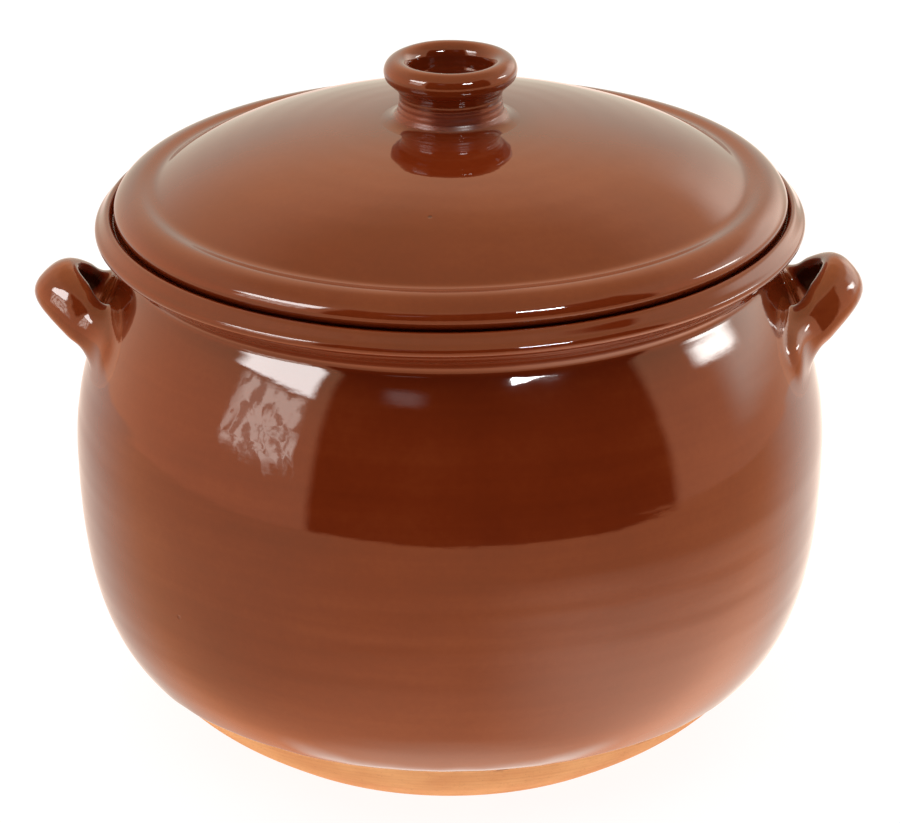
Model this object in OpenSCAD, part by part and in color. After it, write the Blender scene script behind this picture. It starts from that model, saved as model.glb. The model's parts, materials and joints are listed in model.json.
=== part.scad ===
// Terracotta stew pot: thrown round-bellied pot, two pulled strap handles,
// thrown domed lid and hollow spool knob. Sizes in millimetres, +Z up,
// origin at the middle of the base, handles on the X axis.

/* [Pot] */
// Radius of the flat base that the pot stands on
foot_radius = 83; // [74:0.5:92]
// Radius at the top of the bare clay foot
foot_top_radius = 114; // [109:0.5:118]
// Height of the bare clay foot
foot_height = 28.3; // [23:0.1:34]
// How far the foot swells out past a straight cone
foot_swell = 2.5; // [0:0.5:5]
// How far the glazed wall stands out over the bare foot
glaze_step = 1.1; // [0.4:0.1:2.5]
// Radius of the belly at its widest
belly_radius = 129.5; // [120:0.5:140]
// Height of the widest point of the belly
belly_height = 100; // [86:1:112]
// Height of the neck
neck_height = 166.1; // [156:0.1:180]
// Thickness of the wall
wall = 7; // [4:0.5:10]
// Thickness of the floor
floor_thickness = 9; // [6:0.5:12]

/* [Rim] */
// Outside radius of the rolled rim
rim_radius = 120; // [118:0.5:126]
// How far the rim stands out over the neck
rim_overhang = 10.8; // [9:0.1:14]
// Height of the rim above the neck
rim_height = 18; // [16.6:0.2:22]
// Radius of the hollow curve between the shoulder and the rim
neck_fillet = 5.6; // [3:0.1:6.2]
// Section radius of the bead under the roll
bead_radius = 1.3; // [0.8:0.1:1.6]
// How far the bead stands back from the roll
bead_setback = 1; // [0.4:0.1:1.8]
// Depth of the gallery that the lid sits in
gallery_depth = 2; // [1.2:0.1:3]

/* [Lid] */
// Gap all round between the lid and the lip of the rim
lid_clearance = 1.2; // [0.6:0.1:2.5]
// Gap between the lid and the gallery floor
seat_gap = 0.2; // [0.1:0.05:0.4]
// Thickness of the flange at its rounded edge
flange_thickness = 9.7; // [7:0.1:11]
// Width of the flange, from its edge to the crease of the dome
flange_width = 11.2; // [9:0.2:16]
// How far the flange falls from its edge to the crease
crease_drop = 1.1; // [0.2:0.1:2]
// Rise of the dome above the crease
dome_rise = 23.1; // [14:0.1:32]
// Fullness of the dome: 2 is a parabola, more is flatter on top
dome_fullness = 1.9; // [1.8:0.1:3]
// Thickness of the dome
lid_wall = 7; // [5:0.5:8]

/* [Knob] */
// Height of the knob above the dome
knob_height = 21.5; // [20:0.1:30]
// Radius of the rolled lip of the knob
knob_radius = 22.4; // [19:0.2:28]
// Section radius of that lip
knob_roll = 4.4; // [3:0.1:5]
// Radius of the waist
knob_waist = 17.4; // [15:0.2:18]
// Height of the waist above the dome
knob_waist_height = 7.4; // [6:0.2:9]
// Radius of the spread base
knob_base_radius = 20; // [19:0.5:26]
// Depth of the hollow in the knob
knob_hollow = 17; // [10:0.5:17]

/* [Handles] */
// How far below the neck the middle of each loop meets the shoulder
handle_drop = 20.3; // [16.5:0.1:35]
// Reach from the wall to the middle of the strap at its tip
handle_reach = 18.8; // [15:0.2:24]
// Fullness of the loops: 2 is a parabola, more is squarer
loop_fullness = 2; // [1.8:0.1:3]
// Rise of the left loop from level, in degrees
left_lean = 41; // [32:0.5:48]
// How far the left loop sits round to the front, in degrees
left_turn = 4.2; // [0:0.1:8]
// Distance between the legs of the left loop, at the wall's nearest point
left_span = 33; // [28:0.5:48]
// Tilt of the left strap's width inwards from upright, in degrees
left_tilt = 46.5; // [35:0.5:55]
// Rise of the right loop from level, in degrees
right_lean = 41.5; // [32:0.5:48]
// How far the right loop sits round to the front, in degrees
right_turn = 2.9; // [0:0.1:8]
// Distance between the legs of the right loop, at the wall's nearest point
right_span = 39; // [28:0.5:48]
// Tilt of the right strap's width inwards from upright, in degrees
right_tilt = 41; // [35:0.5:55]
// Width of the strap
strap_width = 17.6; // [13:0.2:20]
// Thickness of the strap
strap_thickness = 9; // [7:0.2:10]
// How far a root is smeared along the wall away from the loop
root_smear = 11; // [2:0.5:14]
// How much more a root is smeared at its top than at its bottom
root_skew = 0.5; // [0:0.05:0.7]
// How far a root is smeared down the wall under the strap
root_fall = 13; // [0:0.5:16]
// How far a root is smeared into the loop
root_inner_width = 1.5; // [0:0.5:4]
// How far out from the wall a root begins to spread
root_length = 7; // [5:0.5:10]
// Thickness of the slip between a luted piece and what carries it
slip = 0.15; // [0.1:0.05:0.3]

/* [Hidden] */
glaze_colour = "#8c4626";
$fn = 128;

// How strongly the wall's curves keep their direction at each end
lower_slope = 53.4;
lower_pull = 19.5;
belly_pull_below = 30.8;
belly_pull_above = 29.5;
neck_slope = 63;
neck_pull = 14.4;
glaze_edge_rise = 0.6;
mouth_round = 1.5;
knob_base_edge = 0.6;
knob_roll_start = -58;
strap_fullness = 2.3;
inner_share = 0.36;
root_depth = 20;
root_sink = 5;
tail_steps = 9;
loop_steps = 26;
section_steps = 20;

// Curves in the plane of the turned section: each point is [radius, height]
function heading(angle) = [cos(angle), sin(angle)];
function cubic(a, b, c, d, t) =
    pow(1 - t, 3) * a + 3 * pow(1 - t, 2) * t * b + 3 * (1 - t) * t * t * c + pow(t, 3) * d;
function curve(a, b, c, d, steps) = [for (i = [0:steps]) cubic(a, b, c, d, i / steps)];
function arc(middle, radius, from, to, steps) =
    [for (i = [0:steps]) middle + radius * heading(from + (to - from) * i / steps)];
function along(path, i) =
    let (step = path[min(i + 1, len(path) - 1)] - path[max(i - 1, 0)]) step / norm(step);
// A path moved to its left by a distance
function beside(path, distance) =
    [for (i = [0:len(path) - 1]) let (t = along(path, i)) path[i] + distance * [-t[1], t[0]]];
function without_first(path) = [for (i = [1:len(path) - 1]) path[i]];
function backwards(path) = [for (i = [len(path) - 1:-1:0]) path[i]];

// Outside of the pot, from the base to the neck
foot_bottom = [foot_radius, 0];
foot_top = [foot_top_radius, foot_height];
foot_chord = (foot_top - foot_bottom) / norm(foot_top - foot_bottom);
foot_middle = (foot_bottom + foot_top) / 2 + foot_swell * [foot_chord[1], -foot_chord[0]];
foot_curve = curve(foot_bottom, foot_middle, foot_middle, foot_top, 5);
glaze_edge = foot_top + [glaze_step, glaze_edge_rise];
belly = [belly_radius, belly_height];
neck_radius = rim_radius - rim_overhang;
neck = [neck_radius, neck_height];
neck_heading = [-cos(neck_slope), sin(neck_slope)];
lower_wall = curve(glaze_edge, glaze_edge + lower_pull * heading(lower_slope),
    belly - [0, belly_pull_below], belly, 10);
upper_wall = curve(belly, belly + [0, belly_pull_above], neck - neck_pull * neck_heading, neck, 10);
glazed_wall = concat(lower_wall, without_first(upper_wall));
outside = concat(foot_curve, glazed_wall);
wall_table = [for (p = outside) [p[1], p[0]]];
function wall_radius(height) = lookup(height, wall_table);

// Rim, from the neck up over the bead and the roll into the gallery
fillet_middle = neck + neck_fillet * [neck_heading[1], -neck_heading[0]];
rim_under = fillet_middle[1] + neck_fillet;
rim_top = neck_height + rim_height;
bead_middle = [rim_radius - bead_setback - bead_radius, rim_under + bead_radius];
roll_radius = (rim_top - rim_under - 2 * bead_radius) / 2;
roll_middle = [rim_radius - roll_radius, rim_top - roll_radius];
gallery_radius = roll_middle[0] - gallery_depth;
gallery_floor = rim_top - gallery_depth;
mouth_radius = neck_radius - wall;
rim_outline = concat(
    arc(fillet_middle, neck_fillet, 270 - neck_slope, 90, 4),
    arc(bead_middle, bead_radius, -90, 80, 5),
    arc(roll_middle, roll_radius, -65, 90, 8),
    without_first(arc([roll_middle[0], gallery_floor], gallery_depth, 90, 180, 4)),
    arc([mouth_radius + mouth_round, gallery_floor - mouth_round], mouth_round, 90, 180, 3));

// Inside of the pot: the glazed wall set in by its thickness, then the floor
inside_wall = beside(glazed_wall, wall);
floor_corner = inside_wall[0] - heading(lower_slope) * (inside_wall[0][1] - floor_thickness) / sin(lower_slope);
floor_end = [floor_corner[0] - norm(inside_wall[0] - floor_corner), floor_thickness];
floor_curve = curve(inside_wall[0], (inside_wall[0] + 2 * floor_corner) / 3,
    (floor_end + 2 * floor_corner) / 3, floor_end, 6);
pot_section = concat([[0, 0]], outside, without_first(rim_outline), backwards(inside_wall),
    without_first(floor_curve), [[0, floor_thickness]]);

// Lid
lid_radius = gallery_radius - lid_clearance;
lid_seat = gallery_floor + seat_gap;
edge_radius = flange_thickness / 2;
edge_middle = [lid_radius - edge_radius, lid_seat + edge_radius];
crease = [lid_radius - flange_width, lid_seat + flange_thickness - crease_drop];
hollow_radius = crease[0] - lid_wall;
function dome_height(radius) = crease[1] + dome_rise * (1 - pow(radius / crease[0], dome_fullness));
dome_steps = 12;
dome_curve = [for (i = [0:dome_steps])
    let (r = crease[0] + (knob_base_radius - crease[0]) * i / dome_steps) [r, dome_height(r)]];
hollow_curve = [for (i = [0:dome_steps])
    let (r = hollow_radius * i / dome_steps) [r, dome_height(r) - lid_wall]];
lid_section = concat(
    arc(edge_middle, edge_radius, -90, 90, 10),
    dome_curve,
    [[0, dome_height(knob_base_radius)]],
    hollow_curve,
    arc([hollow_radius + mouth_round, lid_seat + mouth_round], mouth_round, 180, 270, 3));

// Knob
knob_bottom = dome_height(knob_base_radius) + slip;
knob_top = knob_bottom + knob_height;
knob_lip = [knob_radius - knob_roll, knob_top - knob_roll];
waist = [knob_waist, knob_bottom + knob_waist_height];
base_edge = [knob_base_radius, knob_bottom + knob_base_edge];
lip_start = knob_lip + knob_roll * heading(knob_roll_start);
lip_under = heading(knob_roll_start + 90);
hollow_top = knob_lip - [knob_roll, 0];
hollow_bottom = [0, knob_top - knob_hollow];
knob_section = concat(
    [[0, knob_bottom], [knob_base_radius, knob_bottom]],
    curve(base_edge, base_edge - [knob_base_radius - knob_waist, 0], waist - [0, knob_waist_height / 2], waist, 6),
    without_first(curve(waist, waist + [0, (lip_start - waist)[1] / 2],
        lip_start - lip_under * (lip_start - waist)[1] / 4, lip_start, 5)),
    without_first(arc(knob_lip, knob_roll, knob_roll_start, 180, 14)),
    without_first(curve(hollow_top, hollow_top - [0, knob_hollow / 2],
        hollow_bottom + [hollow_top[0] / 2, 0], hollow_bottom, 8)));

// Middle line of a handle's strap: [out from the wall, along the wall]
handle_height = neck_height - handle_drop;
tail_out = [for (i = [0:tail_steps - 1]) -root_depth * (1 - i / tail_steps)];
loop_side = [for (i = [0:loop_steps]) cos(180 * i / loop_steps)];
function strap_line(half_span) =
    let (splay = half_span / (loop_fullness * handle_reach))
    concat([for (o = tail_out) [o, half_span - o * splay]],
        [for (y = loop_side) [handle_reach * (1 - pow(abs(y), loop_fullness)), y * half_span]],
        [for (o = backwards(tail_out)) [o, o * splay - half_span]]);
// Spread of a root: 0 on the strap, growing to 1 a little under the wall's face
function root_share(clear) =
    let (t = max(0, min(1, (root_length - clear) / (root_length + root_sink)))) t * t;
function rounded(value) = sign(value) * pow(abs(value), 2 / strap_fullness);
// A place in a handle's own frame: out along the loop, along the wall, across the strap
function place(out, side, across, lean, tilt) =
    [wall_radius(handle_height) + out * cos(lean) - across * sin(tilt), side,
     handle_height + out * sin(lean) + across * cos(tilt)];
// A point on the strap: its outer face is round and its inner face nearly flat
function strap_point(line, i, angle, lean, tilt) =
    let (middle = line[i],
         t = along(line, i),
         height_share = rounded(cos(angle)),
         across = height_share * strap_width / 2,
         core = place(middle[0], middle[1], across, lean, tilt),
         share = root_share(norm([core[0], core[1]]) - wall_radius(core[2])),
         outer = strap_thickness * (1 - inner_share) + root_smear * share * (1 + root_skew * height_share),
         inner = strap_thickness * inner_share + root_inner_width * share,
         through = rounded(sin(angle)) * (sin(angle) > 0 ? outer : inner),
         fall = root_fall * share * (1 - height_share) / 2)
    place(middle[0] - t[1] * through, middle[1] + t[0] * through, across, lean, tilt) - [0, 0, fall];

module turned(section) {
    rotate_extrude() polygon(section);
}

// One strap, lofted along its middle line with both roots run into the wall
module strap(lean, span, tilt) {
    line = strap_line(span / 2);
    rings = len(line);
    points = [for (i = [0:rings - 1]) for (k = [0:section_steps - 1])
        strap_point(line, i, 360 * k / section_steps, lean, tilt)];
    sides = [for (i = [0:rings - 2]) for (k = [0:section_steps - 1])
        let (a = i * section_steps + k, b = i * section_steps + (k + 1) % section_steps)
        for (face = [[a, b, b + section_steps], [a, b + section_steps, a + section_steps]]) face];
    first_end = [for (k = [section_steps - 1:-1:0]) k];
    last_end = [for (k = [0:section_steps - 1]) (rings - 1) * section_steps + k];
    polyhedron(points, concat(sides, [first_end, last_end]));
}

// A handle: the strap trimmed to the pot's own curve and kept out of the rim, a film of slip clear of them
module handle(lean, span, tilt, turn) {
    rim_edge = rim_radius + slip;
    rotate(-turn) difference() {
        strap(lean, span, tilt);
        turned(concat([[0, 0]], beside(outside, -slip),
            [[rim_edge, rim_under], [rim_edge, rim_top], [0, rim_top]]));
    }
}

module pot_body() {
    color(glaze_colour) turned(pot_section);
}

module handle_left() {
    color(glaze_colour) mirror([1, 0, 0]) handle(left_lean, left_span, left_tilt, left_turn);
}

module handle_right() {
    color(glaze_colour) handle(right_lean, right_span, right_tilt, right_turn);
}

module lid() {
    color(glaze_colour) turned(lid_section);
}

module lid_knob() {
    color(glaze_colour) turned(knob_section);
}

pot_body();
handle_left();
handle_right();
lid();
lid_knob();
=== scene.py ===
"""Terracotta stew pot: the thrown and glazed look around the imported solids.

Outlines are drawn in millimetres as (radius, height) and turned into metres when a piece is thrown.
"""
import json
import math

import bpy
import numpy as np
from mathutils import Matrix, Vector, noise
from mathutils.bvhtree import BVHTree

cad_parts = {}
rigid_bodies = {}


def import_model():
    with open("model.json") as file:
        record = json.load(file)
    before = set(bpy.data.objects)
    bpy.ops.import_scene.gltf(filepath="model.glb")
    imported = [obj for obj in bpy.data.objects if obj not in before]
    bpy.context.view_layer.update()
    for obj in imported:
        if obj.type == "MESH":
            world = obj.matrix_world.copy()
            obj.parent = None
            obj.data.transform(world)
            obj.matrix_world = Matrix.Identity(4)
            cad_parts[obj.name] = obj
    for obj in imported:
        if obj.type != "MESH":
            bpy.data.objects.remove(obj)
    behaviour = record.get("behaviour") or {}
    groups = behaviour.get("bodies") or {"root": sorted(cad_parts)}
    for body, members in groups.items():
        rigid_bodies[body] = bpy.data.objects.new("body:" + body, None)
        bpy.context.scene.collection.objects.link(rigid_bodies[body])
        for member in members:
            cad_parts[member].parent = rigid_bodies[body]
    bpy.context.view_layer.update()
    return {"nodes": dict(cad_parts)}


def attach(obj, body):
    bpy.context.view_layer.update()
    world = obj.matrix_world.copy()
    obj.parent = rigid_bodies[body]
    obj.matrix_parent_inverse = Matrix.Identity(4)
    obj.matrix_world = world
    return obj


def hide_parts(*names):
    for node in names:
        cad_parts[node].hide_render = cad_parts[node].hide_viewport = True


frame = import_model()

MM = 0.001

# Outline of the pot: foot, glaze edge, wall, neck, cove under the rim, rim, gallery and inside
FOOT_RADIUS = 83
FOOT_ROUNDING = 4
FOOT_TOP = (114, 28.3)
FOOT_SWELL = (100.19, 12.3)
GLAZE_SLOPE = 53.4
GLAZE_BEAD = 0.85
GLAZE_LINE = 28.5
LOWER_WALL = ((126.7, 44.6), (129.5, 69.2))
BELLY = (129.5, 100)
UPPER_WALL = ((129.50, 127.52), (116.99, 151.64))
SHOULDER = (111.29, 161.20)
NECK_MIDDLE, NECK_ROUND = (59.75, 130.48), 60
COVE_MIDDLE, COVE_ROUND = (110.54, 166.04), 2
FLARE_MIDDLE, FLARE_ROUND = (114.47, 165.34), 6
ROLL_MIDDLE, ROLL_ROUND = (118, 177.1), 2
RIM_BEVEL = (118.6, 179.2)
LIP_MIDDLE, LIP_ROUND = (115.3, 180.4), 1.9
GALLERY = 181.05
GALLERY_OUTER = 113.5
GALLERY_INNER = 103.7
SMALL_ROUND = 1.5
WALL = 7
FLOOR = 9
FLOOR_CORNER = 88
FLOOR_FLAT = 62
# Outline of the lid: seat, edge, shoulder, crease, dome and the hollow under it
LID_RADIUS = 113.8
LID_SEAT = 181.25
LID_EDGE = 3.8
EDGE_TURN = 34
LID_SHOULDER = 10.3
SHOULDER_TURN = 88
CREASE = (100.5, 190.5)
DOME_TOP = 213.1
DOME_FLAT = 45
DOME_FALL = (22, 15.4)
LID_WALL = 7
HOLLOW_RADIUS = 95
# Outline of the knob
KNOB_TOP = 233.8
KNOB_LIP = 22.4
KNOB_ROLL = 4.4
KNOB_WAIST = (17.3, 221.0)
KNOB_SPREAD = 25.5
KNOB_SINK = 0.12
KNOB_HOLLOW = 17
# How far the thrown rim, and the lid on it, rise to the right and to the back, and between which heights
RIM_LIFT = 1.1
RIM_LIFT_REACH = 115
BACK_LIFT = 2.2
LIFT_HEIGHTS = (160, 176)
# How much higher the rim stands at the handles than at the front and back
RIM_SADDLE = 1.5
# How far to the right of the middle the lid was set down
LID_SHIFT = 0.2
# How many steps each piece is thrown round in
POT_TURNS = 272
LID_TURNS = 256
KNOB_TURNS = 128
# Luting of the handles: fineness of the clay, pressing on, passes of the finger and the sponge
CLAY_GRAIN = 0.7
PRESS_REACH = 0.6
PRESS_DEPTH = 2.5
FILL_ROUNDS = 3
FILL_PASSES = 90
RUB_PASSES = 260
SPONGE_PASSES = 12
# How deep the rubbed edge of a handle sinks into the wall, and the depth at which it is cut off there
ROOT_SINK = 0.55
ROOT_CUT = 0.4
# How much the strap is built up again after the sponge, and how uneven it is
STRAP_SWELL = 0.2
STRAP_WAVER = 0.22
# Top of the wall that the handles are luted to
LUTED_BELOW = 167
# The middle of the pot that the lamp faces, and how far away the lamp hangs, in metres
MIDDLE = Vector((0, 0, 0.11))
LAMP_DISTANCE = 1.5
# The camera, fitted to the photographed outline: metres, degrees and a lens in millimetres
CAMERA_PLACE = (0, -0.99989, 0.5428)
CAMERA_TILT = 66.3892
CAMERA_LENS = 125.06


def bend(a, b, c, d, steps=80):
    """A smooth line from a to d that leaves towards b and arrives from c."""
    a, b, c, d = (np.array(p, float) for p in (a, b, c, d))
    t = np.linspace(0, 1, steps + 1)[:, None]
    return a * (1 - t) ** 3 + 3 * b * t * (1 - t) ** 2 + 3 * c * t * t * (1 - t) + d * t ** 3


def arc(middle, radius, start, end, steps=32):
    """A round line about a middle, from one angle to another."""
    turn = np.radians(np.linspace(start, end, steps + 1))
    return np.array(middle, float) + radius * np.column_stack([np.cos(turn), np.sin(turn)])


def spaced(line, gap):
    """The same line with its points evenly spaced, about a gap apart."""
    line = np.array(line, float)
    run = np.concatenate([[0], np.cumsum(np.linalg.norm(np.diff(line, axis=0), axis=1))])
    at = np.linspace(0, run[-1], max(1, round(run[-1] / gap)) + 1)
    return np.column_stack([np.interp(at, run, line[:, k]) for k in (0, 1)])


def joined(*lines):
    """Lines put end to end, without the points that repeat."""
    line = np.vstack(lines)
    step = np.linalg.norm(np.diff(line, axis=0), axis=1)
    return line[np.concatenate([[True], step > 0.01])]


def softened(line, passes):
    """A line with its corners rounded, ends kept."""
    for _ in range(passes):
        line[1:-1] = (line[:-2] + 2 * line[1:-1] + line[2:]) / 4
    return line


def set_in(line, distance):
    """A line moved to its left by a distance."""
    t = np.gradient(line, axis=0)
    t /= np.linalg.norm(t, axis=1)[:, None]
    return line + distance * np.column_stack([-t[:, 1], t[:, 0]])


def pot_outline():
    """From the middle of the base, up the outside, over the rim and down the inside."""
    along = np.array([math.cos(math.radians(GLAZE_SLOPE)), math.sin(math.radians(GLAZE_SLOPE))])
    foot = bend((FOOT_RADIUS, 0), FOOT_SWELL, FOOT_SWELL, FOOT_TOP)
    flat = FOOT_RADIUS - FOOT_ROUNDING
    base = joined(spaced([(0, 0), (flat, 0)], 4), spaced([(flat, 0), (FOOT_RADIUS, 0)], 1))
    foot = softened(joined(base, spaced(foot, 1)), 2)
    bead_middle = np.array(FOOT_TOP) + GLAZE_BEAD * along
    glaze_edge = arc(bead_middle, GLAZE_BEAD, 180 + GLAZE_SLOPE, 270 + GLAZE_SLOPE, 6)
    lower = bend(glaze_edge[-1], *LOWER_WALL, BELLY)
    upper = bend(BELLY, *UPPER_WALL, SHOULDER)
    neck = arc(NECK_MIDDLE, NECK_ROUND, 30.80, 35.00)
    wall = joined(lower, upper, neck)
    cove = joined(arc(COVE_MIDDLE, COVE_ROUND, 215.00, 170), arc(FLARE_MIDDLE, FLARE_ROUND, 170, 124))
    roll = arc(ROLL_MIDDLE, ROLL_ROUND, -51, 58)
    lip = arc(LIP_MIDDLE, LIP_ROUND, 42, 160)
    rim = joined(cove, roll, [RIM_BEVEL], lip)
    outside = softened(joined(spaced(wall, 1.25), spaced(rim, 0.5)), 1)
    gallery = spaced([(GALLERY_OUTER, GALLERY), (GALLERY_INNER, GALLERY)], 2)
    mouth = joined(gallery, arc((GALLERY_INNER, GALLERY - SMALL_ROUND), SMALL_ROUND, 90, 180, 4))
    inside = spaced(set_in(spaced(wall, 2), WALL)[::-1], 4)
    corner = (FLOOR_CORNER, FLOOR)
    floor = spaced(bend(inside[-1], corner, corner, (FLOOR_FLAT, FLOOR)), 4)
    middle = spaced([(FLOOR_FLAT, FLOOR), (0, FLOOR)], 5)
    return joined(foot, glaze_edge, outside, mouth, inside, floor, middle)


def dome(radius):
    """Height of the outside of the lid's dome, flat on top and steep towards its crease."""
    fall = (CREASE[0] - DOME_FALL[0], CREASE[1] + DOME_FALL[1])
    line = bend((0, DOME_TOP), (DOME_FLAT, DOME_TOP), fall, CREASE, 200)
    return np.interp(radius, line[:, 0], line[:, 1])


def lid_outline():
    """From the middle of the hollow, out to the seat, round the edge and over the dome."""
    hollow = [(r, dome(r) - LID_WALL) for r in np.linspace(0, HOLLOW_RADIUS, 60)]
    seat = arc((HOLLOW_RADIUS + SMALL_ROUND, LID_SEAT + SMALL_ROUND), SMALL_ROUND, 180, 270, 4)
    edge_middle = (LID_RADIUS - LID_EDGE, LID_SEAT + LID_EDGE)
    edge = arc(edge_middle, LID_EDGE, -90, EDGE_TURN)
    turn = math.radians(EDGE_TURN)
    shoulder_middle = edge[-1] - LID_SHOULDER * np.array([math.cos(turn), math.sin(turn)])
    shoulder = arc(shoulder_middle, LID_SHOULDER, EDGE_TURN, SHOULDER_TURN)
    edge = spaced(joined(edge, shoulder), 0.6)
    foot = CREASE[0] - 2.5
    crease = bend(edge[-1], edge[-1] - (2.1, 0), (CREASE[0] + 0.3, CREASE[1] - 0.1), (foot, dome(foot)))
    crown = [(r, dome(r)) for r in np.linspace(foot, 0, 150)]
    top = softened(joined(edge, spaced(crease, 0.6), spaced(crown, 1.1)), 2)
    return joined(spaced(hollow, 4), seat, spaced([seat[-1], edge[0]], 2), top)


def knob_outline():
    """From the dome under the knob, out to its spread base, up over the lip and down the hollow."""
    base = [(r, dome(r) - KNOB_SINK) for r in (0, 6, 12, 18, KNOB_SPREAD)]
    slope = dome(KNOB_SPREAD) - dome(KNOB_SPREAD - 1)
    leave = 7.5
    spread = bend(base[-1], (KNOB_SPREAD - leave, dome(KNOB_SPREAD) - KNOB_SINK - leave * slope + 0.2),
                  (KNOB_WAIST[0] + 0.3, KNOB_WAIST[1] - 6.5), KNOB_WAIST)
    lip_middle = np.array([KNOB_LIP - KNOB_ROLL, KNOB_TOP - KNOB_ROLL])
    lip = arc(lip_middle, KNOB_ROLL, -58, 180)
    rise = lip[0][1] - KNOB_WAIST[1]
    arrive = math.radians(32)
    under = bend(KNOB_WAIST, (KNOB_WAIST[0], KNOB_WAIST[1] + rise / 2),
                 lip[0] - np.array([math.cos(arrive), math.sin(arrive)]) * rise / 4, lip[0])
    well = bend(lip[-1], lip[-1] - (0, KNOB_HOLLOW / 2), (lip[-1][0] / 2, KNOB_TOP - KNOB_HOLLOW),
                (0, KNOB_TOP - KNOB_HOLLOW))
    outside = softened(spaced(joined(spread, under, lip, well), 0.4), 3)
    return joined(base, outside)


def throw(name, outline, turns):
    """Draws an outline beside the axis and turns it round into a closed piece."""
    bpy.ops.object.select_all(action="DESELECT")
    bpy.ops.mesh.primitive_plane_add(size=0.01)
    piece = bpy.context.object
    piece.name = piece.data.name = name
    line = outline * MM
    bpy.ops.object.mode_set(mode="EDIT")
    bpy.ops.mesh.select_mode(type="VERT")
    bpy.ops.mesh.select_all(action="SELECT")
    bpy.ops.mesh.merge(type="CENTER")
    bpy.ops.transform.translate(value=(line[0][0], 0, line[0][1]))
    for step in np.diff(line, axis=0):
        bpy.ops.mesh.extrude_vertices_move(TRANSFORM_OT_translate={"value": (step[0], 0, step[1])})
    bpy.ops.mesh.select_all(action="SELECT")
    bpy.ops.mesh.spin(steps=turns, angle=2 * math.pi, center=(0, 0, 0), axis=(0, 0, 1))
    bpy.ops.mesh.select_all(action="SELECT")
    bpy.ops.mesh.remove_doubles(threshold=0.02 * MM)
    bpy.ops.mesh.normals_make_consistent(inside=False)
    bpy.ops.object.mode_set(mode="OBJECT")
    bpy.ops.object.shade_smooth()
    return piece


def points(piece):
    """The places of a piece's points and their outward directions, in millimetres."""
    count = len(piece.data.vertices)
    places, facing = np.empty(count * 3), np.empty(count * 3)
    piece.data.vertices.foreach_get("co", places)
    piece.data.vertices.foreach_get("normal", facing)
    return places.reshape(-1, 3) / MM, facing.reshape(-1, 3)


def move_points(piece, places):
    """Puts the points of a piece at new places, in millimetres."""
    piece.data.vertices.foreach_set("co", (places * MM).ravel())
    piece.data.update()


def ease(value, low, high):
    """0 below low, 1 above high and smooth between."""
    t = np.clip((value - low) / (high - low), 0, 1)
    return t * t * (3 - 2 * t)


def drift(places, reach, start):
    """Slow unevenness between -1 and 1 that changes over about a reach along x, y and z."""
    scaled = places / np.array(reach) + start
    return np.array([noise.noise(Vector(p)) for p in scaled])


def lifted(places):
    """The hand-thrown rim stands a little higher on the right and at the back."""
    share = ease(places[:, 2], *LIFT_HEIGHTS)
    to_right = RIM_LIFT * places[:, 0] / RIM_LIFT_REACH
    to_back = BACK_LIFT * ease(places[:, 1], -60, 115)
    places[:, 2] += (to_right + to_back) * share
    return places


def throwing_marks(places, facing):
    """Finger rings that climb the wall in a spiral, uneven glaze and a slightly wavering wall."""
    turn = np.arctan2(places[:, 1], places[:, 0]) / (2 * math.pi)
    height = places[:, 2]
    radius = np.hypot(places[:, 0], places[:, 1])
    outward = (places[:, :2] * facing[:, :2]).sum(axis=1) / np.maximum(radius, 1)
    on_wall = ease(outward, 0.1, 0.5) * ease(height, 32, 42) * (1 - ease(height, 138, 156))
    slow = drift(places, (70, 70, 40), 3.1)
    press = 0.6 + 0.8 * drift(places, (60, 60, 30), 9.7)
    rings = 0.014 * np.sin(2 * math.pi * (height / 6.7 + turn) + 2 * slow)
    rings += 0.03 * np.sin(2 * math.pi * (height / 12.5 - turn) + 3 * slow)
    glaze = 0.03 * drift(places, (18, 18, 10), 5.3)
    waver = 0.2 * drift(places, (90, 90, 80), 7.7)
    return facing * ((rings * press + glaze) * on_wall + waver * ease(outward, 0.1, 0.5))[:, None]


def glaze_line(places):
    """The lower edge of the glaze, dipped by hand, wavers a little."""
    near = np.exp(-((places[:, 2] - GLAZE_LINE) / 3.5) ** 2)
    near *= ease(np.hypot(places[:, 0], places[:, 1]), 105, 112)
    flat = places * (1, 1, 0)
    sweep = 0.5 * drift(flat, (45, 45, 1), 2.2) + 0.25 * drift(flat, (9, 9, 1), 6.4)
    return np.column_stack([0 * near, 0 * near, sweep * near])


def mark_glaze_run_and_loop_shade(piece, wall=None):
    """Marks at each point how the glaze has run, 1 where it runs thinner on round edges, and painted shade,
    down to about -1, on a handle's faces inside the loop.
    """
    places, facing = points(piece)
    count = len(places)
    ends = np.empty(len(piece.data.edges) * 2, int)
    piece.data.edges.foreach_get("vertices", ends)
    a, b = ends.reshape(-1, 2).T
    many = np.bincount(a, minlength=count) + np.bincount(b, minlength=count)

    def mean(value):
        return (np.bincount(a, value[b], count) + np.bincount(b, value[a], count)) / np.maximum(many, 1)

    length = np.linalg.norm(places[a] - places[b], axis=1)
    square = (np.bincount(a, length ** 2, count) + np.bincount(b, length ** 2, count)) / np.maximum(many, 1)
    around = np.column_stack([mean(places[:, k]) for k in range(3)])
    bulge = 4 * ((places - around) * facing).sum(axis=1) / np.maximum(square, 1e-6)
    for _ in range(6):
        bulge = (bulge + mean(bulge)) / 2
    run = ease(bulge, 0.05, 0.35)
    # On a handle: a little lighter overall, with painted shade on the faces inside the loop that look back
    # at the wall
    if wall:
        run += 0.35
        clear, out = clear_of(wall, places)
        run -= 1.5 * ease(-(facing * out).sum(axis=1), 0.1, 0.6) * ease(clear, 1, 3)
    glaze_run_and_shade = piece.data.attributes.new("glaze_run_and_shade", "FLOAT", "POINT")
    glaze_run_and_shade.data.foreach_set("value", run.astype(np.float32))


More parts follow.
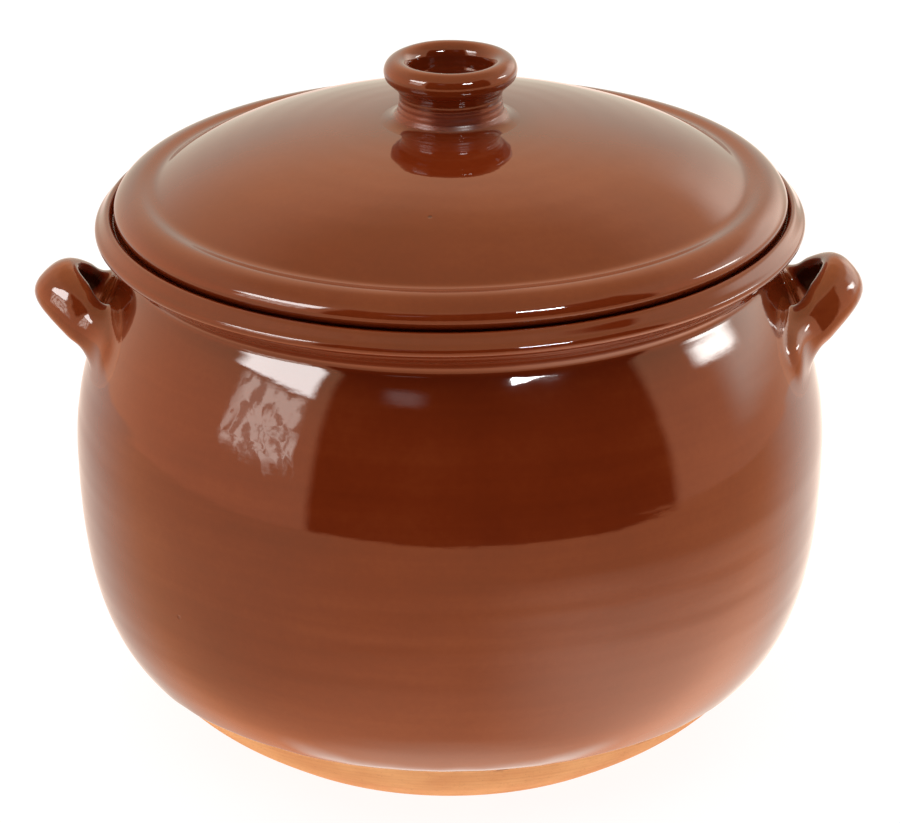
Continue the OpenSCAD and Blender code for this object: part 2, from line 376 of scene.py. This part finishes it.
def throw_pot():
    """The pot's body, with bare clay on the foot and the base."""
    pot = throw("pot_body_thrown", pot_outline(), POT_TURNS)
    pot.data.materials.append(pot_glaze)
    pot.data.materials.append(bare_clay)
    for face in pot.data.polygons:
        radius = math.hypot(face.center.x, face.center.y)
        below_glaze = face.center.z < FOOT_TOP[1] * MM and radius < (FOOT_TOP[0] - 0.05) * MM
        if face.normal.z < -0.05 and below_glaze:
            face.material_index = 1
    places, facing = points(pot)
    places = places + throwing_marks(places, facing) + glaze_line(places)
    radius = np.hypot(places[:, 0], places[:, 1])
    saddle = (places[:, 0] / np.maximum(radius, 1)) ** 2
    saddle *= ease(radius, 113.4, 115.5)
    saddle *= ease(places[:, 2], 168, 176)
    places[:, 2] += RIM_SADDLE * saddle
    move_points(pot, lifted(places))
    return pot


def throw_lid():
    """The domed lid, with faint rings on the dome."""
    lid = throw("lid_thrown", lid_outline(), LID_TURNS)
    places, facing = points(lid)
    radius = np.hypot(places[:, 0], places[:, 1])
    on_dome = ease(facing[:, 2], 0.2, 0.6) * ease(radius, 24, 34)
    rings = 0.012 * np.sin(2 * math.pi * radius / 9.5 + 2 * drift(places, (60, 60, 60), 4.4))
    waver = 0.12 * drift(places, (60, 60, 60), 8.8) + 0.012 * drift(places, (18, 18, 18), 2.7)
    places = places + facing * ((rings + waver) * on_dome)[:, None] + (LID_SHIFT, 0, 0)
    move_points(lid, lifted(places))
    lid.data.materials.append(lid_glaze)
    return lid


def throw_knob():
    """The hollow knob, ringed below its lip and duller where it was luted on."""
    knob = throw("lid_knob_thrown", knob_outline(), KNOB_TURNS)
    places, facing = points(knob)
    shaped = ease(places[:, 2], 214, 220)
    waver = 0.15 * drift(places, (16, 16, 14), 5.9)
    rings = 0.075 * np.sin(2 * math.pi * places[:, 2] / 2.1) * (1 - ease(places[:, 2], 226, 229))
    rings *= ease(places[:, 2], 213.5, 215)
    places = places + facing * (waver * shaped + rings)[:, None] + (LID_SHIFT, 0, 0)
    move_points(knob, lifted(places))
    knob.data.materials.append(lid_glaze)
    matt = knob.data.attributes.new("matt", "FLOAT", "POINT")
    touched = ease(places[:, 2], 213, 215) * (1 - ease(places[:, 2], 219, 223))
    matt.data.foreach_set("value", touched.astype(np.float32))
    return knob


def copy_mesh(mesh, name):
    """A new piece with its own merged copy of a mesh, alone selected."""
    piece = bpy.data.objects.new(name, mesh.copy())
    bpy.context.scene.collection.objects.link(piece)
    bpy.ops.object.select_all(action="DESELECT")
    piece.select_set(True)
    bpy.context.view_layer.objects.active = piece
    bpy.ops.object.mode_set(mode="EDIT")
    bpy.ops.mesh.select_mode(type="VERT")
    bpy.ops.mesh.select_all(action="SELECT")
    bpy.ops.mesh.remove_doubles(threshold=0.005 * MM)
    bpy.ops.object.mode_set(mode="OBJECT")
    return piece


def wall_block(pot, side):
    """The part of the pot's wall that a handle is luted to, cut out as a closed block."""
    block = copy_mesh(pot.data, "wall_block")
    bpy.ops.object.mode_set(mode="EDIT")
    # A place on each cut, and the side of it that is thrown away
    cuts = [((0, 0, 169), (0, 0, 1)), ((0, 0, 118), (0, 0, -1)), ((side * 88, 0, 0), (-side, 0, 0)),
            ((0, 52, 0), (0, 1, 0)), ((0, -62, 0), (0, -1, 0))]
    for place, away in cuts:
        bpy.ops.mesh.select_all(action="SELECT")
        cut_at = [v * MM for v in place]
        bpy.ops.mesh.bisect(plane_co=cut_at, plane_no=away, use_fill=True, clear_outer=True)
    bpy.ops.object.mode_set(mode="OBJECT")
    return block


def select_points(piece, chosen):
    """Selects points by a mask, and leaves the piece in edit mode."""
    bpy.ops.object.mode_set(mode="EDIT")
    bpy.ops.mesh.select_mode(type="VERT")
    bpy.ops.mesh.select_all(action="DESELECT")
    bpy.ops.object.mode_set(mode="OBJECT")
    piece.data.vertices.foreach_set("select", chosen)
    bpy.ops.object.mode_set(mode="EDIT")


def clear_of(tree, places):
    """How far each place stands clear of a surface, and the way straight out of it there."""
    clear, out = np.empty(len(places)), np.empty((len(places), 3))
    for i, place in enumerate(places):
        point = Vector(place) * MM
        near, normal, _, distance = tree.find_nearest(point)
        clear[i] = distance / MM * (1 if (point - near).dot(normal) > 0 else -1)
        out[i] = normal
    return clear, out


def weigh(piece, name, share):
    """A group of a piece's points, each with its share in tenths."""
    group = piece.vertex_groups.new(name=name)
    for tenth in range(1, 11):
        group.add(np.flatnonzero(np.round(10 * share) == tenth).tolist(), tenth / 10, "REPLACE")


def fill_hollows(piece, where, passes):
    """Smooths a group of points like a finger that only adds slip: hollows fill and edges stay."""
    before, facing = points(piece)
    rub_smooth(piece, where, passes)
    after, _ = points(piece)
    added = np.maximum(((after - before) * facing).sum(axis=1), 0)
    move_points(piece, before + facing * added[:, None])


def rub_smooth(piece, where, passes):
    """Smooths a group of points, or all of them, as a wet finger or sponge does."""
    smooth = piece.modifiers.new("rub", "SMOOTH")
    smooth.factor = 0.5
    smooth.iterations = passes
    smooth.vertex_group = where
    bpy.ops.object.modifier_apply(modifier=smooth.name)


def lute_handle(node, pot, wall, side):
    """A pulled strap pressed on to the wall, its roots smoothed into it with a finger."""
    block = wall_block(pot, side)
    handle = copy_mesh(frame["nodes"][node].data, node + "_luted")
    places, _ = points(handle)
    clear, out = clear_of(wall, places)
    pressed = clear < PRESS_REACH
    places[pressed] -= PRESS_DEPTH * out[pressed]
    move_points(handle, places)
    bpy.ops.object.select_all(action="DESELECT")
    block.select_set(True)
    handle.select_set(True)
    bpy.context.view_layer.objects.active = handle
    bpy.ops.object.join()
    remesh = handle.modifiers.new("clay", "REMESH")
    remesh.mode = "VOXEL"
    remesh.voxel_size = CLAY_GRAIN * MM
    bpy.ops.object.modifier_apply(modifier=remesh.name)
    places, _ = points(handle)
    clear, _ = clear_of(wall, places)
    weigh(handle, "rubbed", 1 - ease(clear, 4, 10))
    for _ in range(FILL_ROUNDS):
        fill_hollows(handle, "rubbed", FILL_PASSES)
    rub_smooth(handle, "rubbed", RUB_PASSES)
    rub_smooth(handle, "", SPONGE_PASSES)
    handle.vertex_groups.clear()

    places, facing = points(handle)
    clear, out = clear_of(wall, places)
    sunk = ROOT_SINK * (1 - ease(clear, 0.04, 0.3))
    swell = STRAP_SWELL * ease(clear, 1, 5)
    waver = STRAP_WAVER * drift(places, (14, 14, 14), 3.3 + side) * ease(clear, 1, 6)
    move_points(handle, places - out * sunk[:, None] + facing * (swell + waver)[:, None])

    # What lies in the wall is cut away, only the strap is kept, and its backs are closed
    select_points(handle, clear - sunk < -ROOT_CUT)
    bpy.ops.mesh.delete(type="VERT")
    bpy.ops.object.mode_set(mode="OBJECT")
    places, _ = points(handle)
    tip = np.zeros(len(places), bool)
    tip[np.argmax(places[:, 0] * side)] = True
    select_points(handle, tip)
    bpy.ops.mesh.select_linked()
    bpy.ops.mesh.select_all(action="INVERT")
    bpy.ops.mesh.delete(type="VERT")
    bpy.ops.mesh.select_all(action="DESELECT")
    bpy.ops.mesh.select_non_manifold()
    bpy.ops.mesh.mark_sharp()
    bpy.ops.mesh.fill_holes(sides=0)
    bpy.ops.mesh.poke(center_mode="MEDIAN")
    bpy.ops.mesh.select_all(action="SELECT")
    bpy.ops.mesh.normals_make_consistent(inside=False)
    bpy.ops.object.mode_set(mode="OBJECT")
    bpy.ops.object.shade_smooth()

    # Where the roots run out they catch the light as the wall does
    places, _ = points(handle)
    clear, _ = clear_of(wall, places)
    weigh(handle, "flush", 1 - ease(clear, 0.25, 2.4))
    follow = handle.modifiers.new("follow_wall", "DATA_TRANSFER")
    follow.object = pot
    follow.use_loop_data = True
    follow.data_types_loops = {"CUSTOM_NORMAL"}
    follow.loop_mapping = "POLYINTERP_NEAREST"
    follow.vertex_group = "flush"
    bpy.ops.object.modifier_apply(modifier=follow.name)
    handle.vertex_groups.clear()
    handle.data.materials.clear()
    handle.data.materials.append(pot_glaze)
    return handle


def add_node(tree, kind, inputs=None, **settings):
    """Adds a shader node, sets it up and links or fills its inputs."""
    made = tree.nodes.new(kind)
    for name, value in settings.items():
        setattr(made, name, value)
    for name, value in (inputs or {}).items():
        if isinstance(value, bpy.types.NodeSocket):
            tree.links.new(value, made.inputs[name])
        else:
            made.inputs[name].default_value = value
    return made


def maths(tree, operation, *values):
    """One sum on numbers or sockets."""
    return add_node(tree, "ShaderNodeMath", dict(enumerate(values)), operation=operation).outputs[0]


def ranged(tree, value, low, high, out_low, out_high):
    """A value carried softly from one range to another, held at the ends."""
    inputs = {"Value": value, "From Min": low, "From Max": high, "To Min": out_low, "To Max": out_high}
    return add_node(tree, "ShaderNodeMapRange", inputs, interpolation_type="SMOOTHSTEP").outputs["Result"]


def blended(tree, share, first, second):
    """Two colours mixed by a share."""
    return add_node(tree, "ShaderNodeMix", {0: share, 6: first, 7: second}, data_type="RGBA").outputs[2]


def mottle(tree, place, stretch, detail=3.0, rough=0.55):
    """Uneven noise on a place, stretched by counts per metre along x, y and z."""
    spread = add_node(tree, "ShaderNodeMapping", {"Vector": place, "Scale": stretch}, vector_type="POINT")
    inputs = {"Vector": spread.outputs[0], "Scale": 1.0, "Detail": detail, "Roughness": rough}
    return add_node(tree, "ShaderNodeTexNoise", inputs).outputs["Fac"]


def make_honey_glaze():
    """Clear honey-brown glaze over red clay: runs thinner on edges, streaked by throwing, with painted shade
    where the handle loops are marked darker.
    """
    group = bpy.data.node_groups.new("honey_glaze", "ShaderNodeTree")
    for name, kind in (("Place", "NodeSocketVector"), ("Glaze run and shade", "NodeSocketFloat"),
                       ("Streaks", "NodeSocketFloat"), ("Crinkle", "NodeSocketFloat")):
        group.interface.new_socket(name, in_out="INPUT", socket_type=kind)
    for name, kind in (("Color", "NodeSocketColor"), ("Roughness", "NodeSocketFloat"),
                       ("Height", "NodeSocketFloat")):
        group.interface.new_socket(name, in_out="OUTPUT", socket_type=kind)
    given = add_node(group, "NodeGroupInput")
    place, glaze_run_and_shade, streak_share, crinkle = (given.outputs[n] for n in ("Place", "Glaze run and shade", "Streaks", "Crinkle"))

    streaks = mottle(group, place, (7, 7, 130), 4.0, 0.6)
    clouds = mottle(group, place, (26, 26, 34), 3.0)
    specks = mottle(group, place, (420, 420, 420), 2.0)
    tone = maths(group, "MULTIPLY", maths(group, "SUBTRACT", streaks, 0.5), streak_share)
    tone = maths(group, "MULTIPLY_ADD", maths(group, "SUBTRACT", clouds, 0.5), 0.45, tone)
    tone = maths(group, "MULTIPLY_ADD", maths(group, "SUBTRACT", specks, 0.5), 0.15, tone)
    # Lighter where the glaze runs thinner, darker where painted shade is marked inside the handle loops
    tone = maths(group, "MULTIPLY_ADD", glaze_run_and_shade, 0.5, tone)
    ramp = add_node(group, "ShaderNodeValToRGB", {"Fac": maths(group, "ADD", tone, 0.45)})
    ramp.color_ramp.elements[0].color = (0.02, 0.004, 0.0015, 1)
    ramp.color_ramp.elements[1].color = (0.28, 0.055, 0.013, 1)
    for position, colour in ((0.2, (0.13, 0.0155, 0.003, 1)), (0.45, (0.172, 0.022, 0.0042, 1))):
        ramp.color_ramp.elements.new(position).color = colour

    pits = add_node(group, "ShaderNodeTexVoronoi", {"Vector": place, "Scale": 38.0})
    lot = add_node(group, "ShaderNodeSeparateColor", {0: pits.outputs["Color"]}).outputs[0]
    chosen = ranged(group, lot, 0.62, 0.64, 0, 1)
    pit = maths(group, "MULTIPLY", ranged(group, pits.outputs["Distance"], 0.012, 0.04, 1, 0), chosen)
    # Painted shade: each pinhole is darkened in colour as well as dented
    pit_shade = maths(group, "MULTIPLY", pit, 0.7)
    colour = blended(group, pit_shade, ramp.outputs["Color"], (0.05, 0.01, 0.004, 1))

    ripple = mottle(group, place, (45, 45, 150), 2.0)
    peel = mottle(group, place, (260, 260, 330), 2.0)
    height = maths(group, "MULTIPLY_ADD", peel, 0.08, maths(group, "MULTIPLY", ripple, 0.22))
    height = maths(group, "MULTIPLY_ADD", streaks, 0.16, height)
    stir = add_node(group, "ShaderNodeTexNoise", {"Vector": place, "Scale": 110.0, "Detail": 2.0})
    wander = add_node(group, "ShaderNodeVectorMath", {0: stir.outputs["Color"], 1: (0.005, 0.005, 0.005)},
                      operation="MULTIPLY")
    bent = add_node(group, "ShaderNodeVectorMath", {0: place, 1: wander.outputs[0]}, operation="ADD")
    cells = add_node(group, "ShaderNodeTexVoronoi", {"Vector": bent.outputs[0], "Scale": 100.0},
                     feature="DISTANCE_TO_EDGE")
    grooves = ranged(group, cells.outputs["Distance"], 0.0, 0.25, 0, 1)
    height = maths(group, "MULTIPLY_ADD", grooves, maths(group, "MULTIPLY", crinkle, 0.3), height)
    height = maths(group, "MULTIPLY_ADD", pit, -0.8, height)
    gloss = ranged(group, mottle(group, place, (60, 60, 90), 3.0), 0.3, 0.7, 0.03, 0.06)
    rough = maths(group, "MULTIPLY_ADD", pit, 0.3, gloss)
    add_node(group, "NodeGroupOutput", {"Color": colour, "Roughness": rough, "Height": height})
    return group


def glazed(name, streaks, crinkled=None):
    """A glazed finish, with its own strength of streaks and perhaps a place where the glaze has crinkled."""
    finish = bpy.data.materials.new(name)
    finish.use_nodes = True
    tree = finish.node_tree
    shader = tree.nodes["Principled BSDF"]
    place = add_node(tree, "ShaderNodeTexCoord").outputs["Object"]
    # How the glaze has run, with the painted shade inside the handle loops
    glaze_run_and_shade = add_node(tree, "ShaderNodeAttribute", attribute_name="glaze_run_and_shade").outputs["Fac"]
    glaze = add_node(tree, "ShaderNodeGroup", node_tree=honey_glaze)
    tree.links.new(place, glaze.inputs["Place"])
    tree.links.new(glaze_run_and_shade, glaze.inputs["Glaze run and shade"])
    glaze.inputs["Streaks"].default_value = streaks
    if crinkled:
        away = add_node(tree, "ShaderNodeVectorMath", {0: place, 1: crinkled}, operation="DISTANCE")
        near = ranged(tree, away.outputs["Value"], 0.011, 0.022, 1, 0)
        tree.links.new(near, glaze.inputs["Crinkle"])
    bump = add_node(tree, "ShaderNodeBump",
                    {"Height": glaze.outputs["Height"], "Strength": 1.0, "Distance": 0.00012})
    tree.links.new(glaze.outputs["Color"], shader.inputs["Base Color"])
    matt = add_node(tree, "ShaderNodeAttribute", attribute_name="matt").outputs["Fac"]
    rough = maths(tree, "MULTIPLY_ADD", matt, 0.26, glaze.outputs["Roughness"])
    tree.links.new(rough, shader.inputs["Roughness"])
    tree.links.new(bump.outputs["Normal"], shader.inputs["Normal"])
    shader.inputs["IOR"].default_value = 1.52
    return finish


def make_bare_clay():
    """Unglazed fired clay: chalky orange, fine grit and lines left by the turning tool."""
    finish = bpy.data.materials.new("bare_clay")
    finish.use_nodes = True
    tree = finish.node_tree
    shader = tree.nodes["Principled BSDF"]
    place = add_node(tree, "ShaderNodeTexCoord").outputs["Object"]
    lines = mottle(tree, place, (9, 9, 700), 3.0)
    clouds = mottle(tree, place, (40, 40, 60), 3.0)
    grit = mottle(tree, place, (900, 900, 900), 2.0, 0.7)
    tone = maths(tree, "MULTIPLY_ADD", lines, 0.35, maths(tree, "MULTIPLY", clouds, 0.65))
    colour = blended(tree, ranged(tree, tone, 0.3, 0.7, 0, 1), (0.63, 0.27, 0.09, 1), (0.79, 0.395, 0.15, 1))
    colour = blended(tree, ranged(tree, grit, 0.62, 0.75, 0, 0.5), colour, (0.36, 0.13, 0.05, 1))
    height_up = add_node(tree, "ShaderNodeSeparateXYZ", {0: place}).outputs["Z"]
    near_glaze = ranged(tree, height_up, 0.0245, 0.0278, 0, 1)
    chips = ranged(tree, mottle(tree, place, (120, 120, 260), 3.0), 0.6, 0.68, 0, 0.8)
    colour = blended(tree, maths(tree, "MULTIPLY", chips, near_glaze), colour, (0.2, 0.07, 0.03, 1))
    height = maths(tree, "MULTIPLY_ADD", lines, 0.6, maths(tree, "MULTIPLY", grit, 0.4))
    bump = add_node(tree, "ShaderNodeBump", {"Height": height, "Strength": 1.0, "Distance": 0.00025})
    tree.links.new(colour, shader.inputs["Base Color"])
    tree.links.new(bump.outputs["Normal"], shader.inputs["Normal"])
    tree.links.new(ranged(tree, grit, 0.3, 0.7, 0.8, 0.95), shader.inputs["Roughness"])
    return finish


def from_pot(azimuth, elevation, distance):
    """A place seen from the pot: azimuth to the right from the front, elevation up, in degrees."""
    a, e = math.radians(azimuth), math.radians(elevation)
    return Vector((math.sin(a) * math.cos(e), -math.cos(a) * math.cos(e), math.sin(e))) * distance + MIDDLE


def hang_lamp(name, azimuth, elevation, width, height, brightness):
    """A soft rectangular lamp that faces the pot, its size given in degrees as the pot sees it."""
    lamp = bpy.data.lights.new(name, "AREA")
    lamp.shape = "RECTANGLE"
    lamp.size = math.radians(width) * LAMP_DISTANCE
    lamp.size_y = math.radians(height) * LAMP_DISTANCE
    lamp.energy = brightness * math.pi * lamp.size * lamp.size_y
    hung = bpy.data.objects.new(name, lamp)
    bpy.context.scene.collection.objects.link(hung)
    hung.location = from_pot(azimuth, elevation, LAMP_DISTANCE)
    hung.rotation_euler = (MIDDLE - hung.location).to_track_quat("-Z", "Y").to_euler()
    hung.visible_camera = False
    hung.visible_diffuse = False


def make_tent():
    """A white light tent, open and dark at the front, in a warm room that the glaze mirrors."""
    world = bpy.data.worlds.new("tent")
    bpy.context.scene.world = world
    world.use_nodes = True
    tree = world.node_tree
    way = add_node(tree, "ShaderNodeTexCoord").outputs["Generated"]
    x, y, z = add_node(tree, "ShaderNodeSeparateXYZ", {0: way}).outputs
    azimuth = maths(tree, "DEGREES", maths(tree, "ARCTAN2", x, maths(tree, "MULTIPLY", y, -1.0)))
    elevation = maths(tree, "DEGREES", maths(tree, "ARCSINE", z))
    round_back = maths(tree, "ABSOLUTE", azimuth)

    def band(value, low, high):
        return ranged(tree, value, low, high, 0, 1)

    def both(first, second):
        return maths(tree, "MULTIPLY", first, second)

    def patch(left, right, low, high):
        """A soft-edged patch: its left and right edges in azimuth, its low and high edges on a value."""
        across = both(band(azimuth, *left), band(azimuth, *right))
        return both(across, both(band(*low), band(*high)))

    # The cloth lights the pot
    opening = both(both(band(azimuth, -44, -40), band(azimuth, 72, 67)), band(elevation, 50, 45))
    cloth = both(ranged(tree, elevation, 0, 70, 0.45, 1.5), ranged(tree, opening, 0, 1, 1, 0.15))

    # The glaze mirrors a warm room: its walls, ceiling, lamps and window
    walls = blended(tree, band(round_back, 100, 168), (2.4, 1.05, 0.58, 1), (1.05, 1.0, 0.82, 1))
    ceiling = blended(tree, band(elevation, 40, 62), (1.75, 1.0, 0.58, 1), (1.22, 0.72, 0.36, 1))
    room = blended(tree, band(elevation, 12, 38), walls, ceiling)
    glow = patch((92, 108), (165, 140), (elevation, -4, 9), (elevation, 34, 22))
    room = blended(tree, both(glow, 0.85), room, (3.6, 2.9, 2.4, 1))
    room = blended(tree, opening, room, (0.02, 0.015, 0.01, 1))
    gleam = patch((-26, -19), (-6, -14), (elevation, 32.5, 35.5), (elevation, 39.5, 36.5))
    room = blended(tree, gleam, room, (1.0, 0.95, 0.95, 1))
    slant = maths(tree, "MULTIPLY_ADD", azimuth, -0.06, elevation)
    folds = ranged(tree, mottle(tree, way, (16, 16, 9), 2.0), 0.43, 0.54, 0.2, 1)
    pane = patch((-77, -71), (-47.5, -51), (elevation, 6, 11), (slant, 31.8, 29.5))
    room = blended(tree, both(pane, folds), room, (7.2, 5.7, 4.9, 1))
    top = maths(tree, "MULTIPLY_ADD", azimuth, -0.28, elevation)
    sky = patch((-83, -76), (-46.5, -50), (slant, 31.3, 32.7), (top, 58, 56))
    room = blended(tree, sky, room, (17, 16, 15.5, 1))
    tilted = maths(tree, "MULTIPLY_ADD", azimuth, 0.35, elevation)
    bulb = patch((88, 96), (114, 105), (tilted, 48.5, 51), (tilted, 56, 53))
    room = blended(tree, bulb, room, (20, 19, 18, 1))

    # Below the room lies the table, brighter to the right and close under the pot
    table = blended(tree, band(elevation, -22, -55), (2.0, 0.83, 0.4, 1), (3.1, 1.3, 0.68, 1))
    table = blended(tree, both(band(x, 0.05, 0.65), band(elevation, -20, -42)), table, (4.2, 2.3, 1.55, 1))
    table = blended(tree, band(x, -0.3, -0.85), table, (1.8, 0.9, 0.5, 1))
    behind = blended(tree, band(x, -0.1, 0.35), (1.25, 1.0, 0.85, 1), (1.7, 1.4, 1.2, 1))
    table = blended(tree, band(y, 0.2, 0.75), table, behind)
    table = blended(tree, band(z, -0.9, -1.0), table, (3.9, 2.2, 1.5, 1))
    table = blended(tree, both(band(y, 0.03, 0.25), band(z, -0.88, -0.96)), table, (4.8, 4.1, 3.6, 1))
    mirrored = blended(tree, band(elevation, -8.6, -7), table, room)
    glossy = add_node(tree, "ShaderNodeLightPath").outputs["Is Glossy Ray"]
    tree.links.new(blended(tree, glossy, cloth, mirrored), tree.nodes["Background"].inputs["Color"])


def lay_floor():
    """A plain pale sheet that glows a little and isn't mirrored in the glaze."""
    bpy.ops.object.select_all(action="DESELECT")
    bpy.ops.mesh.primitive_plane_add(size=12)
    floor = bpy.context.object
    floor.name = "floor"
    floor.visible_glossy = False
    paper = bpy.data.materials.new("pale_floor")
    paper.use_nodes = True
    shader = paper.node_tree.nodes["Principled BSDF"]
    shader.inputs["Base Color"].default_value = (0.18, 0.18, 0.18, 1)
    shader.inputs["Roughness"].default_value = 0.9
    shader.inputs["Specular IOR Level"].default_value = 0.0
    shader.inputs["Emission Color"].default_value = (1, 1, 1, 1)
    shader.inputs["Emission Strength"].default_value = 0.9
    floor.data.materials.append(paper)


def set_camera():
    """The camera, at the photographed view."""
    camera = bpy.data.cameras.new("camera")
    camera.sensor_width = 36
    camera.lens = CAMERA_LENS
    held = bpy.data.objects.new("camera", camera)
    bpy.context.scene.collection.objects.link(held)
    held.location = CAMERA_PLACE
    held.rotation_euler = (math.radians(CAMERA_TILT), 0, 0)
    bpy.context.scene.camera = held


bpy.context.scene.view_settings.view_transform = "Standard"
set_camera()
make_tent()
hang_lamp("small_lamp", 31, 40.4, 13.5, 2.2, 150)
lay_floor()

honey_glaze = make_honey_glaze()
pot_glaze = glazed("pot_glaze", 0.4, (-0.0635, -0.107, 0.138))
lid_glaze = glazed("lid_glaze", 0.25)
bare_clay = make_bare_clay()

pot = throw_pot()
wall_faces = [face.vertices for face in pot.data.polygons if face.center.z < LUTED_BELOW * MM]
wall_tree = BVHTree.FromPolygons([v.co for v in pot.data.vertices], wall_faces)
pieces = [
    (pot, "pot", "pot_body", "pot_glaze"),
    (lute_handle("handle_left", pot, wall_tree, -1), "pot", "handle_left", "pot_glaze"),
    (lute_handle("handle_right", pot, wall_tree, 1), "pot", "handle_right", "pot_glaze"),
    (throw_lid(), "lid", "lid", "lid_glaze"),
    (throw_knob(), "lid", "lid_knob", "lid_glaze"),
]
for piece, body, node, finish in pieces:
    mark_glaze_run_and_loop_shade(piece, wall_tree if "luted" in piece.name else None)
    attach(piece, body)
    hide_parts(node)
